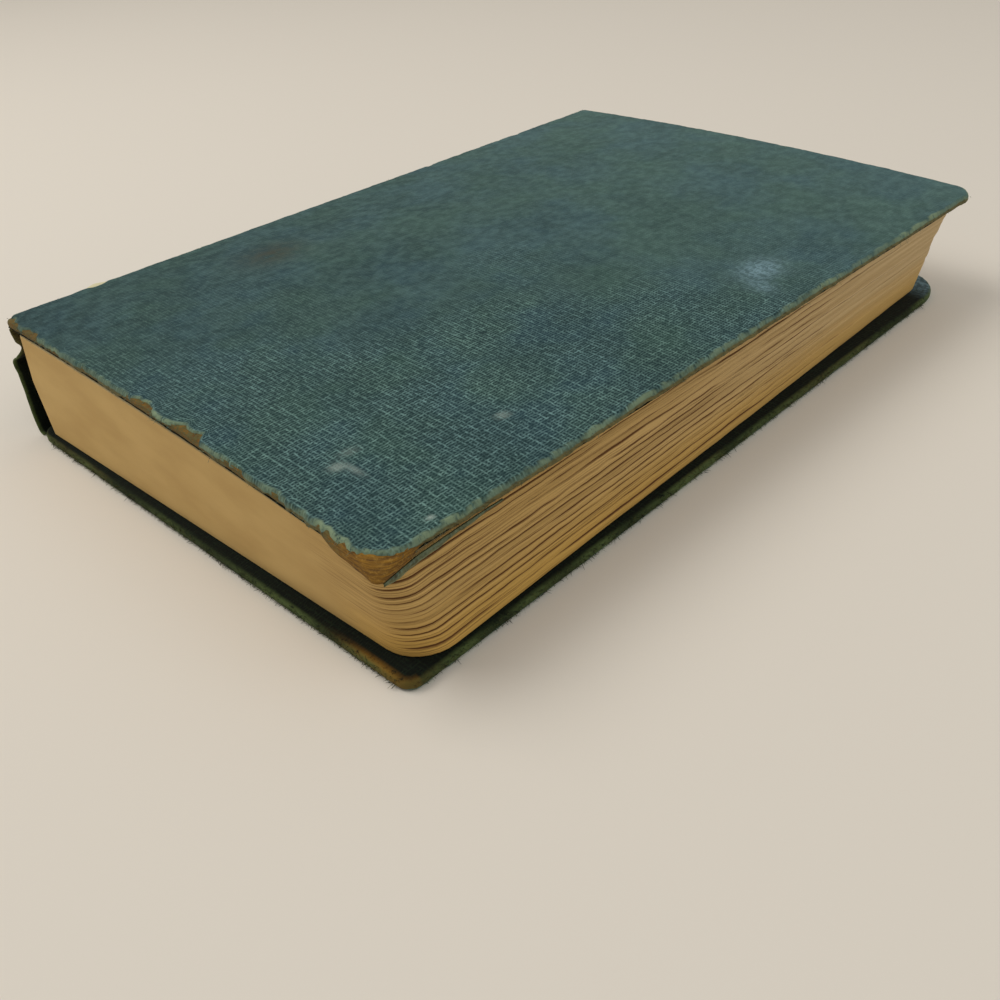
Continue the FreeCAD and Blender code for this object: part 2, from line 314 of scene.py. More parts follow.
def book_cloth(name, dark, blue, green, thread, rim, side, contrast, sheen):
    """Faded linen book cloth: uneven plain weave, slubs, broad fading, a pale worn rim and a browned side."""
    n = Nodes(name)
    flat = n.attribute("flat", "Vector")
    u, v, w = n.split(flat)
    sway_v = n.grain(flat, (0.09, 0.3, 0.1), 2.0)
    sway_u = n.grain(flat, (0.3, 0.09, 0.1), 2.0)
    shake_v = n.grain(flat, (0.8, 0.35, 0.3), 2.0, 0.6)
    shake_u = n.grain(flat, (0.35, 0.75, 0.6), 2.0, 0.6)
    v_thread = n.fit(sway_v, 0.8, n.fit(shake_v, 0.45, v))
    u_thread = n.fit(sway_u, 0.9, n.fit(shake_u, 0.45, u))
    sine_v = n.math("SINE", n.times(v_thread, math.pi / RIB_PITCH))
    sine_u = n.math("SINE", n.times(u_thread, math.pi / WARP_PITCH))
    rib = n.math("POWER", n.math("ABSOLUTE", sine_v), 3.0)
    warp = n.math("POWER", n.math("ABSOLUTE", sine_u), 2.6)
    check = n.fit(n.times(sine_u, sine_v), 0.9, 0.5, clamp=True)
    rib_tone = n.noise(n.join(n.times(u, 0.5), n.times(v_thread, 1 / RIB_PITCH), w), 1.0, 3.0, 0.6)
    warp_tone = n.noise(n.join(n.times(u_thread, 1 / WARP_PITCH), n.times(v, 0.45), w), 1.0, 3.0,
                        0.6)
    bead = n.noise(n.join(n.times(u_thread, 0.8 / WARP_PITCH), n.times(v_thread, 0.8 / RIB_PITCH),
                          w), 1.0, 2.0, 0.7)
    fleck = n.grain(flat, (0.9, 0.8, 1.0), 3.0, 0.7)
    hair = n.grain(flat, (4.5, 5.0, 1.0), 2.0, 0.7)
    rib_top = n.times(rib, n.fit(n.ramp(rib_tone, 0.34, 0.68), 1.0, 0.26))
    rib_top = n.times(rib_top, n.fit(check, 0.3, 0.65))
    warp_top = n.times(warp, n.fit(n.ramp(warp_tone, 0.34, 0.68), 1.0, 0.26))
    warp_top = n.times(warp_top, n.fit(check, -0.3, 0.95))
    tops = n.math("MAXIMUM", rib_top, warp_top)
    tops = n.times(tops, n.fit(n.ramp(bead, 0.3, 0.66), 0.66, 0.56))
    tops = n.times(tops, n.fit(n.ramp(fleck, 0.3, 0.7), 0.7, 0.5), clamp=True)
    fade = n.grain(flat, (0.04, 0.035, 0.05), 3.0, 0.55)
    cloud = n.grain(flat, (0.1, 0.08, 0.1), 4.0, 0.6)
    rubbing = n.grain(flat, (0.055, 0.05, 0.1), 3.0, 0.6)
    mottle = n.grain(flat, (0.4, 0.3, 0.1), 4.0, 0.65)
    ground = n.mix(n.ramp(fade, 0.4, 0.6), blue, green)
    ground = n.mix(n.ramp(cloud, 0.35, 0.75), dark, ground)
    depth = n.attribute("crisp")
    flat_tone = n.fit(n.ramp(rubbing, 0.3, 0.7), 0.08, 0.03)
    flat_tone = n.plus(flat_tone, n.times(n.ramp(mottle, 0.36, 0.7), 0.2))
    flat_tone = n.fit(v, 0.0011, n.fit(tops, 0.1, flat_tone))
    woven = n.times(tops, n.fit(n.ramp(rubbing, 0.3, 0.7), 0.34, 0.72 * contrast))
    threads = n.mix(n.ramp(fade, 0.36, 0.64), tinted(thread, 0.97, 0.98, 1.06), tinted(thread, 1.0, 1.0, 0.95))
    color = n.mix(n.mixed(depth, flat_tone, woven), ground, threads)
    stain = n.attribute("stain")
    color = n.mix(n.times(stain, n.ramp(mottle, 0.2, 0.7)), color, srgb(62, 54, 36))
    # The chalk mask paints the pale bluish scuff on the front cover, and painted light on the lit far corner of the
    # back cover's turn-in.
    chalk = n.attribute("chalk")
    patchy = n.fit(n.ramp(fleck, 0.42, 0.58), 0.55, 0.35)
    color = n.mix(n.times(chalk, patchy), color, srgb(122, 152, 162))
    color = n.mix(n.times(n.attribute("scrape"), n.ramp(hair, 0.3, 0.5)), color, srgb(170, 186, 176))
    fuzz = n.grain(flat, (0.8, 0.8, 0.8), 4.0, 0.7)
    browned = n.attribute("browned")
    side_tone = n.mix(n.ramp(fuzz, 0.35, 0.65), tinted(side, 0.55, 0.55, 0.55), side)
    color = n.mix(browned, color, side_tone)
    color = n.mix(n.times(n.attribute("bare"), n.ramp(fuzz, 0.25, 0.5), clamp=True), color,
                  srgb(128, 92, 30))
    rim_share = n.times(n.attribute("worn"), n.ramp(fuzz, 0.28, 0.52), clamp=True)
    color = n.mix(rim_share, color, rim)
    smooth_rim = n.math("SUBTRACT", 1.0, rim_share)
    height = n.plus(n.times(tops, n.times(smooth_rim, 0.8)), n.times(fleck, 0.6))
    n.shader.inputs["Sheen Weight"].default_value = sheen
    n.shader.inputs["Sheen Roughness"].default_value = 0.5
    n.shader.inputs["Specular IOR Level"].default_value = 0.15
    return n.finish(color, height, 0.12, 0.7, 0.9)


def grey_board(name):
    """Bare board, browned: fibres and thin layers of uneven tone, with painted shade in its hollows, and green rests
    of cloth at its rim.
    """
    n = Nodes(name)
    flat = n.attribute("flat", "Vector")
    u, v, w = n.split(flat)
    layers_and_shade = n.noise(n.join(n.times(u, 0.25), n.times(v, 0.25), n.times(w, 5.0)),
                     1.0, 3.0, 0.6)
    fibres = n.grain(flat, (1.4, 1.4, 3.0), 4.0, 0.7)
    # The layers' tone is darker where the bump is low, which paints shade into the hollows.
    color = n.mix(n.ramp(layers_and_shade, 0.3, 0.7), srgb(84, 54, 9), srgb(142, 101, 22))
    color = n.mix(n.ramp(fibres, 0.45, 0.85), color, srgb(164, 126, 52))
    rests = n.times(n.attribute("rests"), n.ramp(fibres, 0.38, 0.55))
    color = n.mix(rests, color, srgb(84, 82, 42))
    height = n.plus(layers_and_shade, n.times(fibres, 0.6))
    return n.finish(color, height, 0.3, 0.9, 0.95)


def page_edges(name):
    """The trimmed edges of many leaves: fine lines along each leaf and dark brown lines between the gatherings,
    painted shade in their hollows.
    """
    n = Nodes(name)
    flat = n.attribute("flat", "Vector")
    run, level, fore = n.split(flat)
    leaves = n.noise(n.join(n.times(run, 0.02), n.times(level, 9.0), fore), 1.0, 3.0, 0.75)
    bands = n.noise(n.join(n.times(run, 0.012), n.times(level, 1.2), fore), 1.0, 2.0, 0.5)
    lines = n.noise(n.join(n.times(run, 0.03), n.times(level, 3.4), fore), 1.0, 2.0, 0.6)
    blotch = n.grain(flat, (0.05, 0.12, 1.0), 3.0, 0.5)
    low = n.ramp(level, 12.0, 0.0)
    tail_color = n.mix(n.ramp(blotch, 0.3, 0.7), srgb(188, 154, 92), srgb(200, 167, 104))
    near_color = n.mix(n.ramp(bands, 0.3, 0.7), srgb(174, 140, 78), srgb(198, 162, 96))
    far_color = n.mix(n.ramp(bands, 0.3, 0.7), srgb(188, 160, 112), srgb(206, 180, 134))
    fore_color = n.mix(n.ramp(run, -70.0, 80.0), near_color, far_color)
    fore_color = n.mix(n.times(low, 0.7), fore_color, srgb(208, 164, 74))
    color = n.mix(fore, tail_color, fore_color)
    # Painted shade: the fine lines are darker where the bump of the leaves dips, in the hollows between leaves.
    fine = n.times(n.ramp(leaves, 0.5, 0.2), n.fit(fore, 0.45, 0.12))
    color = n.mix(fine, color, srgb(122, 90, 44))
    # Painted shade: dark brown lines for the gaps between the gatherings, strongest near the tail.
    gap_shade = n.times(n.times(n.ramp(lines, 0.48, 0.32), fore), n.ramp(run, 90.0, -60.0))
    color = n.mix(n.times(gap_shade, 0.7), color, srgb(100, 66, 18))
    groove = n.attribute("groove")
    # Painted shade in the grooves between the gatherings.
    color = n.mix(n.ramp(groove, 0.02, 0.6), color, srgb(94, 56, 8))
    return n.finish(color, leaves, 0.08, 0.6, 0.85)


def plain_paper(name, light, dark):
    """Yellowed uncoated paper with faint foxing."""
    n = Nodes(name)
    place = n.place()
    tone = n.noise(place, 18.0, 4.0, 0.6)
    fibre = n.noise(place, 1400.0, 2.0, 0.6)
    spots = n.ramp(n.noise(place, 160.0, 2.0, 0.5), 0.68, 0.8)
    color = n.mix(n.ramp(tone, 0.3, 0.7), light, dark)
    color = n.mix(n.times(spots, 0.5), color, srgb(150, 108, 62))
    return n.finish(color, fibre, 0.03, 0.5, 0.8)


def glued_mull(name):
    """Open-weave lining cloth, stiff with old glue."""
    n = Nodes(name)
    _, y, z = n.split(n.place())
    over = n.math("SINE", n.times(y, 2 * math.pi / 0.0014))
    under = n.math("SINE", n.times(z, 2 * math.pi / 0.0014))
    weave = n.math("MAXIMUM", over, under)
    glue = n.noise(n.place(), 300.0, 3.0, 0.6)
    color = n.mix(n.ramp(weave, 0.2, 0.9), srgb(120, 92, 52), srgb(196, 180, 140))
    color = n.mix(n.ramp(glue, 0.5, 0.8), color, srgb(134, 96, 48))
    return n.finish(color, weave, 0.15, 0.8, 0.8)


TEAL = book_cloth("teal_cloth", srgb(15, 42, 45), srgb(18, 48, 60), srgb(28, 56, 52), srgb(110, 144, 138),
                  srgb(124, 142, 114), srgb(106, 92, 46), 1.0, 0.03)
# The second cloth is the teal cloth again with painted shade: its colours are darkened nearly to black for cloth that
# lies in shade inside the covers, inside the spine and round the back cover's edge.
SHADED_CLOTH = book_cloth("painted_shade_cloth", srgb(3, 6, 3), srgb(4, 10, 7), srgb(7, 13, 7), srgb(26, 40, 24), srgb(78, 92, 52),
                   srgb(80, 68, 32), 0.6, 0.02)
BOARD = grey_board("worn_board")
EDGES = page_edges("page_edges")
ENDPAPER = plain_paper("endpaper", srgb(204, 184, 136), srgb(188, 164, 114))
PALE_PAPER = plain_paper("pale_paper", srgb(216, 210, 174), srgb(200, 192, 150))
CARD = plain_paper("card", srgb(150, 128, 92), srgb(134, 112, 78))
MULL = glued_mull("lining")


# Worn outlines
def dent(place, middle, width):
    """A rounded dip of the given width round a middle."""
    return 1 - smooth(0.25, 0.5, np.abs(np.asarray(place, float) - middle) / width)


def fray(place, seed, depth):
    """How far a cut or worn edge of cloth stands back, with loose thread ends."""
    fine = ripple(place, seed, 0.55) * 0.5 + ripple(place, seed + 1, 1.7) * 0.35 + ripple(place, seed + 2, 6.0) * 0.3
    return depth * (1 + fine)


def corner_map(u, v, radii):
    """Points of a full rectangle drawn in at its corners, so that its edge follows round corners."""
    u, v = np.array(u, float), np.array(v, float)
    for (right, top), radius in radii.items():
        a = (u - (COVER_WIDTH - radius)) / radius if right else (radius - u) / radius
        b = (v - (COVER_HEIGHT - radius)) / radius if top else (radius - v) / radius
        inside = (a > 0) & (b > 0)
        a_round = np.where(inside, a * np.sqrt(np.clip(1 - b * b / 2, 0, 1)), a)
        b_round = np.where(inside, b * np.sqrt(np.clip(1 - a * a / 2, 0, 1)), b)
        u_round = COVER_WIDTH - radius + a_round * radius if right else radius - a_round * radius
        v_round = COVER_HEIGHT - radius + b_round * radius if top else radius - b_round * radius
        u, v = np.where(inside, u_round, u), np.where(inside, v_round, v)
    return u, v


def edge_distance(u, v, radii):
    """How far inside the rounded outline a point lies."""
    distance = np.minimum(np.minimum(u, COVER_WIDTH - u), np.minimum(v, COVER_HEIGHT - v))
    for (right, top), radius in radii.items():
        a = u - (COVER_WIDTH - radius) if right else radius - u
        b = v - (COVER_HEIGHT - radius) if top else radius - v
        distance = np.where((a > 0) & (b > 0), radius - np.hypot(a, b), distance)
    return distance


def graded(length, fine, coarse, margin):
    """Places along a side, close together near both ends."""
    ends = np.arange(0, margin, fine)
    count = int(round((length - 2 * margin) / coarse))
    return np.concatenate([ends, np.linspace(margin, length - margin, count + 1), length - ends[::-1]])


def near_tip(u, v, reach):
    """One at the worn corner of the fore-edge and the tail, falling to zero at a distance."""
    return 1 - smooth(0, reach, np.hypot(np.asarray(u, float) - COVER_WIDTH, v))


def worn_tip(u, v):
    """One at the bare tip of the front board, falling evenly along the tail and, sooner, along the fore-edge."""
    return np.clip(1 - np.hypot((COVER_WIDTH - np.asarray(u, float)) / 15, np.asarray(v, float) / 9), 0, 1)


def front_losses(u, v):
    """How far the front cloth stands back from each edge: tail, head, fore-edge and spine."""
    gone = 1.0 * dent(u, 13, 8) + 1.3 * dent(u, 75, 11) + 0.6 * dent(u, 60, 10) + 1.2 * dent(u, 3, 9)
    tail = fray(u, 10, 0.45) + gone * (1 + 0.35 * ripple(u, 16, 0.9) + 0.25 * ripple(u, 17, 2.4))
    tail = tail - 0.3 * dent(u, 66, 7)
    head = fray(u, 20, 0.1)
    fore = fray(v, 30, 0.28) + 0.2 * dent(v, 118, 14)
    spine = fray(v, 40, 0.08) + 0.9 * dent(v, 22.5, 4) + 0.5 * dent(v, 124, 3) + 0.4 * dent(v, 159, 3)
    return tail, head, fore, spine


def front_wrap(u, v):
    """How far the cloth still reaches down the edge of the front board: much of it is gone along the tail."""
    tail = (1 - smooth(0, 1.5, v)) * (0.75 + 0.5 * ripple(u, 12, 5) + 0.3 * ripple(u, 13, 1.1))
    sides = smooth(0, 1.5, v) * (1.1 + 0.15 * ripple(v, 14, 4) + 0.1 * ripple(v, 15, 0.9))
    gone = np.clip(near_tip(u, v, 13) * 2, 0, 1)
    holes = np.maximum(dent(u, 13, 10), np.maximum(dent(u, 70, 26), dent(u, 2, 12))) * (1 - smooth(0, 1.5, v))
    return np.clip((tail + sides) * (1 - gone) * (1 - holes), 0.02, 1.35)


def back_wrap(u, v):
    """The back cloth's outer sheet ends at the edge, where the turned-in ring takes over."""
    return np.full(np.shape(u), 0.05)


def welded(points, under, faces, data):
    """Points and faces of a sheet with thickness: equal points joined, its rim closed, nothing left loose."""
    keys, first, index = np.unique(np.round(points, 5), axis=0, return_index=True, return_inverse=True)
    index = index.reshape(-1)
    kept = []
    for face in faces:
        corners = list(dict.fromkeys(int(index[corner]) for corner in face))
        if len(corners) > 2:
            kept.append(tuple(corners))
    used = sorted({corner for face in kept for corner in face})
    place = {corner: number for number, corner in enumerate(used)}
    kept = [tuple(place[corner] for corner in face) for face in kept]
    first = first[used]
    count = len(used)
    edges = {}
    for face in kept:
        for here, there in zip(face, face[1:] + face[:1]):
            edges[(here, there)] = True
    rim = [(here, there) for here, there in edges if (there, here) not in edges]
    faces = kept + [tuple(count + corner for corner in face[::-1]) for face in kept]
    faces += [(there, here, here + count, there + count) for here, there in rim]
    data = [np.concatenate([values.reshape(len(points), -1)[first]] * 2) for values in data]
    return np.concatenate([points[first], under[first]]), faces, data


def cover_sheet(name, place, body, radii, losses, wrap, seed, lift):
    """The cloth over a cover's outer face, with its worn outline, its rolled edge and what hangs down the side."""
    skirt = np.array([1.0, 0.8, 0.6, 0.4, 0.2])
    us, vs = graded(COVER_WIDTH, 0.25, 1.0, 4.0), graded(COVER_HEIGHT, 0.25, 1.0, 4.0)
    us = np.concatenate([-skirt, us, COVER_WIDTH + skirt[::-1]])
    vs = np.concatenate([-skirt, vs, COVER_HEIGHT + skirt[::-1]])
    v_full, u_full = np.meshgrid(vs, us, indexing="ij")
    over_u = np.maximum(-u_full, u_full - COVER_WIDTH)
    over_v = np.maximum(-v_full, v_full - COVER_HEIGHT)
    over = np.clip(np.maximum(over_u, over_v), 0, 1)
    u, v = corner_map(np.clip(u_full, 0, COVER_WIDTH), np.clip(v_full, 0, COVER_HEIGHT), radii)
    distance = np.maximum(edge_distance(u, v, radii), 0)
    hang = over * wrap(u, v)
    tail, head, fore, spine = losses(u, v)
    reach = 6.0
    flat_u, flat_v = u, v
    u = u + spine * (1 - smooth(0, reach, u)) - fore * (1 - smooth(0, reach, COVER_WIDTH - u))
    v = v + tail * (1 - smooth(0, reach, v)) - head * (1 - smooth(0, reach, COVER_HEIGHT - v))
    roll = np.clip(EDGE_ROUND - distance, 0, EDGE_ROUND)
    drop = EDGE_ROUND - np.sqrt(np.maximum(EDGE_ROUND ** 2 - roll ** 2, 0))
    near_edge = 1 - smooth(0, 2.0, distance)
    rough = ripple_field(u, v, seed, 0.8) * 0.08 + ripple_field(u, v, seed + 1, 2.3) * 0.08
    swell = ripple_field(u, v, seed + 2, 26) * 0.09
    w = COVER_THICKNESS - drop - hang + near_edge * (rough + lift) + swell * smooth(0, 6, distance)
    pinch = CLOTH * 0.8
    inward = 1 - np.clip(distance / EDGE_ROUND, 0, 1)
    side_u = np.where(u < 4, 1.0, np.where(u > COVER_WIDTH - 4, -1.0, 0.0))
    side_v = np.where(v < 4, 1.0, np.where(v > COVER_HEIGHT - 4, -1.0, 0.0))
    length = np.maximum(np.hypot(side_u, side_v), 1)
    under_u = u + pinch * inward * side_u / length
    under_v = v + pinch * inward * side_v / length
    top = place(u, v, w).reshape(-1, 3)
    under = place(under_u, under_v, w - pinch * (1 - 0.8 * inward)).reshape(-1, 3)
    noise = ripple_field(u, v, seed + 3, 1.6)
    arris = 1 - smooth(0.1, 0.7, distance + 0.5 * noise)
    side = smooth(0.08, 0.35, hang)
    worn = arris * (1 - side) * (0.75 + 0.45 * ripple_field(u, v, seed + 4, 6))
    marks = 1.0 if body == "front_cover" else 0.0
    stain = 0.75 * np.exp(-((u - 20) / 6) ** 2 - ((v - 57) / 8) ** 2) * marks
    masks = cloth_masks(u.shape, worn=np.clip(worn + 0.15 * side, 0, 1), browned=0.95 * side, stain=stain,
                        chalk=chalk_marks(u, v) * marks, scrape=scrapes(u, v) * marks, crisp=crispness(u, v))
    flat = np.stack([flat_u, flat_v - hang, over], axis=-1)
    rows, columns = u.shape
    points, faces, data = welded(top, under, grid_faces(rows, columns), [flat] + list(masks.values()))
    return add_mesh(name, points, faces, body, TEAL, data[0], dict(zip(masks, data[1:])))


def crispness(u, v):
    """How clearly the weave stands out: worn smooth and soiled towards the spine and the head."""
    tilt = (np.asarray(u) * 0.85 - np.asarray(v) * 0.5 + 2) / 60
    shown = smooth(0.0, 1.0, tilt + 0.3 * ripple_field(u, v, 90, 22))
    shown = shown * (1 - 0.9 * smooth(100, 152, np.asarray(v) + 8 * ripple_field(u, v, 91, 14)))
    return np.clip(0.06 + 0.94 * shown, 0, 1)


def cloth_masks(shape, **given):
    """A value of every mask of the cloth at each point, zero where it isn't given."""
    return {mask: given.get(mask, np.zeros(shape)) for mask in CLOTH_MASKS}


def chalk_marks(u, v):
    """The pale bluish scuff on the front cover."""
    scuff = np.exp(-((u - 113) / 4.0) ** 2 - ((v - 118) / 6.0) ** 2)
    tail = 0.6 * np.exp(-((u - 118) / 3.0) ** 2 - ((v - 111) / 2.5) ** 2)
    return np.clip(scuff + tail, 0, 1)


def scrapes(u, v):
    """Small pale specks and scrapes on the front cover."""
    marks = np.zeros(np.shape(u))
    for place_u, place_v, half_u, half_v, strength in ((112.5, 40.3, 0.5, 1.1, 1.0), (124.3, 12.8, 0.45, 0.5, 1.0),
                                                       (103.5, 11.5, 0.9, 1.1, 0.7), (106.0, 12.8, 2.2, 0.5, 0.5),
                                                       (101.5, 15.5, 0.5, 1.6, 0.5)):
        marks = marks + strength * np.exp(-((u - place_u) / half_u) ** 2 - ((v - place_v) / half_v) ** 2)
    return np.clip(marks, 0, 1)


def rounded_outline(points, radii):
    """Points round a four-cornered outline with rounded corners, the same number for every outline."""
    points = [np.array(point, float) for point in points]
    count = len(points)
    arcs = []
    for index, point in enumerate(points):
        before = points[index - 1] - point
        after = points[(index + 1) % count] - point
        before, after = before / np.linalg.norm(before), after / np.linalg.norm(after)
        half = math.acos(np.clip(before @ after, -1, 1)) / 2
        bisector = (before + after) / np.linalg.norm(before + after)
        centre = point + bisector * radii[index] / math.sin(half)
        start = point + before * radii[index] / math.tan(half) - centre
        end = point + after * radii[index] / math.tan(half) - centre
        first, last = math.atan2(start[1], start[0]), math.atan2(end[1], end[0])
        if last < first:
            last += 2 * math.pi
        angles = np.linspace(first, last, TURNS + 1)
        arcs.append(centre + radii[index] * np.stack([np.cos(angles), np.sin(angles)], axis=-1))
    outline = []
    for index in range(count):
        outline.extend(arcs[index])
        follow = arcs[(index + 1) % count][0]
        share = np.linspace(0, 1, SIDE_STEPS[index] + 1)[1:-1, None]
        outline.extend(arcs[index][-1] * (1 - share) + follow * share)
    return np.array(outline)


def end_rings(ring, middle, steps):
    """Rings that shrink to a middle, over the end of a shell."""
    return [middle + (ring - middle) * (1 - step / steps) for step in range(1, steps)]


def end_faces(low, base, count, steps, flip):
    """Faces between a shell's outer ring and those rings, which start at a number, and one last small face."""
    faces = []
    for high in range(base, base + (steps - 1) * count, count):
        for index in range(count):
            there = (index + 1) % count
            faces.append((low + index, low + there, high + there, high + index))
        low = high
    faces.append(tuple(range(low, low + count)))
    return [face[::-1] for face in faces] if flip else faces


def board_block(name, place, body, radii_top, radii_bottom, seed):
    """A cover's board: a layered slab whose top and bottom outlines may have different corners."""
    inset = 2 * CLOTH
    square = [(inset, inset), (COVER_WIDTH - inset, inset), (COVER_WIDTH - inset, COVER_HEIGHT - inset),
              (inset, COVER_HEIGHT - inset)]
    rows = 9
    rings, flats, rests = [], [], []
    top, bottom = rounded_outline(square, radii_top), rounded_outline(square, radii_bottom)
    for row in range(rows):
        share = row / (rows - 1)
        ring = bottom * (1 - share ** 1.3) + top * share ** 1.3
        run = np.arange(len(ring)) * OUTLINE_STEP
        rough = 0.08 * ripple(run, seed + row, 0.9) + 0.06 * ripple(run, seed + 60, 5)
        tip = worn_tip(ring[:, 0], ring[:, 1]) if body == "front_cover" else np.zeros(len(ring))
        outward = ring - np.roll(ring, 1, axis=0)
        outward = np.stack([outward[:, 1], -outward[:, 0]], axis=-1)
        outward /= np.maximum(np.linalg.norm(outward, axis=1, keepdims=True), 1e-6)
        bulge = 0.15 * math.sin(math.pi * share)
        spread = 1.0 * np.minimum(1, 3 * tip) * (1 - share) ** 0.7
        ring = ring + outward * (rough * (1 - 0.6 * tip) + bulge + spread)[:, None]
        droop = 1.5 * tip + 0.2 * smooth(0.8, 0.93, tip)
        w = BOARD_FLOOR + (BOARD_ROOF - BOARD_FLOOR) * share - (1 - share) * droop
        rings.append(place(ring[:, 0], ring[:, 1], w))
        flats.append(np.stack([ring[:, 0], ring[:, 1], w], axis=-1))
        rests.append(np.clip(0.9 - 1.6 * near_tip(ring[:, 0], ring[:, 1], 14), 0, 1))
    count = len(top)
    faces = grid_faces(rows, count, closed=True)
    middle = np.array([COVER_WIDTH / 2, COVER_HEIGHT / 2])
    for ring, w, flip in ((top, BOARD_ROOF, False), (bottom, BOARD_FLOOR, True)):
        faces += end_faces(0 if flip else (rows - 1) * count, len(rings) * count, count, 12, flip)
        for inner in end_rings(ring, middle, 12):
            rings.append(place(inner[:, 0], inner[:, 1], np.full(count, w)))
            flats.append(np.column_stack([inner, np.full(count, w)]))
            rests.append(np.zeros(count))
    return add_mesh(name, np.concatenate(rings), faces, body, BOARD, np.concatenate(flats),
                    {"rests": np.concatenate(rests)})


def turned_in(name, place, body, radii, seed, profile):
    """The cloth that is glued down inside a cover, with what is left of it round the edge: a ring of a profile."""
    square = [(0, 0), (COVER_WIDTH, 0), (COVER_WIDTH, COVER_HEIGHT), (0, COVER_HEIGHT)]
    profile = np.array(profile, float)
    way = np.gradient(profile, axis=0)
    way /= np.linalg.norm(way, axis=1, keepdims=True)
    under = profile + 0.7 * CLOTH * np.stack([-way[:, 1], way[:, 0]], axis=-1)
    rings, flats, masks = [], [], {"worn": [], "browned": [], "bare": []}
    for number, (inset, w) in enumerate(np.concatenate([profile, under[::-1]])):
        shrunk = [(x - inset if x > 0 else JOINT_SHARE * inset, y + math.copysign(inset, COVER_HEIGHT / 2 - y))
                  for x, y in square]
        corner = {key: max(radius - inset, 0.4) for key, radius in radii.items()}
        ring = rounded_outline(shrunk, [corner[(0, 0)], corner[(1, 0)], corner[(1, 1)], corner[(0, 1)]])
        run = np.arange(len(ring)) * OUTLINE_STEP
        level = np.full(len(ring), w)
        if inset < 1.2:
            level = level + 0.06 * ripple(run, seed + number, 1.3)
        rings.append(place(ring[:, 0], ring[:, 1], level))
        flats.append(np.stack([ring[:, 0], ring[:, 1] - w, np.full(len(ring), w)], axis=-1))
        outside = max(0.0, 1 - inset / 0.6)
        masks["worn"].append(outside * (0.7 + 0.5 * ripple(run, seed + 30, 9)))
        masks["browned"].append(0.8 * outside * smooth(-0.2, 0.6, ripple(run, seed + 31, 16)))
        masks["bare"].append(1.4 * max(0.0, 1 - inset / 1.4) * np.exp(-((ring[:, 0] - 119) / 7) ** 2)
                             * (ring[:, 1] < 3) * (body == "back_cover"))
    count, rows = len(rings[0]), len(rings)
    faces = grid_faces(rows, count, closed=True)
    last = (rows - 1) * count
    faces += [(last + index, last + (index + 1) % count, (index + 1) % count, index) for index in range(count)]
    masks = {mask: np.clip(np.concatenate(values), 0, 1) for mask, values in masks.items()}
    flats = np.concatenate(flats)
    # Painted light: the lit far corner of the back cover's turn-in is painted a lighter teal through the chalk mask.
    lit = smooth(174, 184, flats[:, 1]) * smooth(108, 118, flats[:, 0]) * (body == "back_cover")
    masks = cloth_masks(count * rows, chalk=0.75 * lit, crisp=np.ones(count * rows), **masks)
    # The turned-in cloth uses the cloth with painted shade, near black where the covers and the pages shade it.
    return add_mesh(name, np.concatenate(rings), faces, body, SHADED_CLOTH, flats, masks)


front_sheet = cover_sheet("front_cloth", front_place, "front_cover", FRONT_CORNERS, front_losses, front_wrap, 100,
                          0.05)
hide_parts("cover_cloth_front")

front_board = board_block("worn_front_board", front_place, "front_cover", [1.6, 6.4, 4.6, 1.6], [1.6, 0.5, 4.6, 1.6],
                          200)
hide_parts("front_board")


# Pages
def level_corners(share):
    """The four corners of the pages at a share of their height, and their leaf corner."""
    position = share * (len(LEANS) - 1)
    index = min(int(position), len(LEANS) - 2)
    part = position - index
    low, high = LEANS[index], LEANS[index + 1]

    def between(name):
        return low[name] * (1 - part) + high[name] * part

    fore, tail = math.radians(between("fore_turn")), math.radians(between("tail_turn"))
    up = np.array((-math.sin(fore), math.cos(fore)))
    out = np.array((math.cos(tail), math.sin(tail)))
    fore_tail = np.array(low["corner"]) * (1 - part) + np.array(high["corner"]) * part
    spine_tail = fore_tail - out * (PAGE_WIDTH - between("set_in"))
    rise = up * (PAGE_HEIGHT + HEAD_STEP * share)
    return [spine_tail, fore_tail, fore_tail + rise, spine_tail + rise], between("leaf_corner")


def pages_roof(x, y):
    """The height of the pages' bowed top under the front cover."""
    local = (np.stack([x, y], axis=-1) - np.array(front_corner)[:2]) @ front_matrix[:2, :2]
    u = np.clip(local[:, 0], 0, COVER_WIDTH)
    return front_corner.z - math.tan(COVER_SLOPE) * u + bow(u) - PAGES_GAP


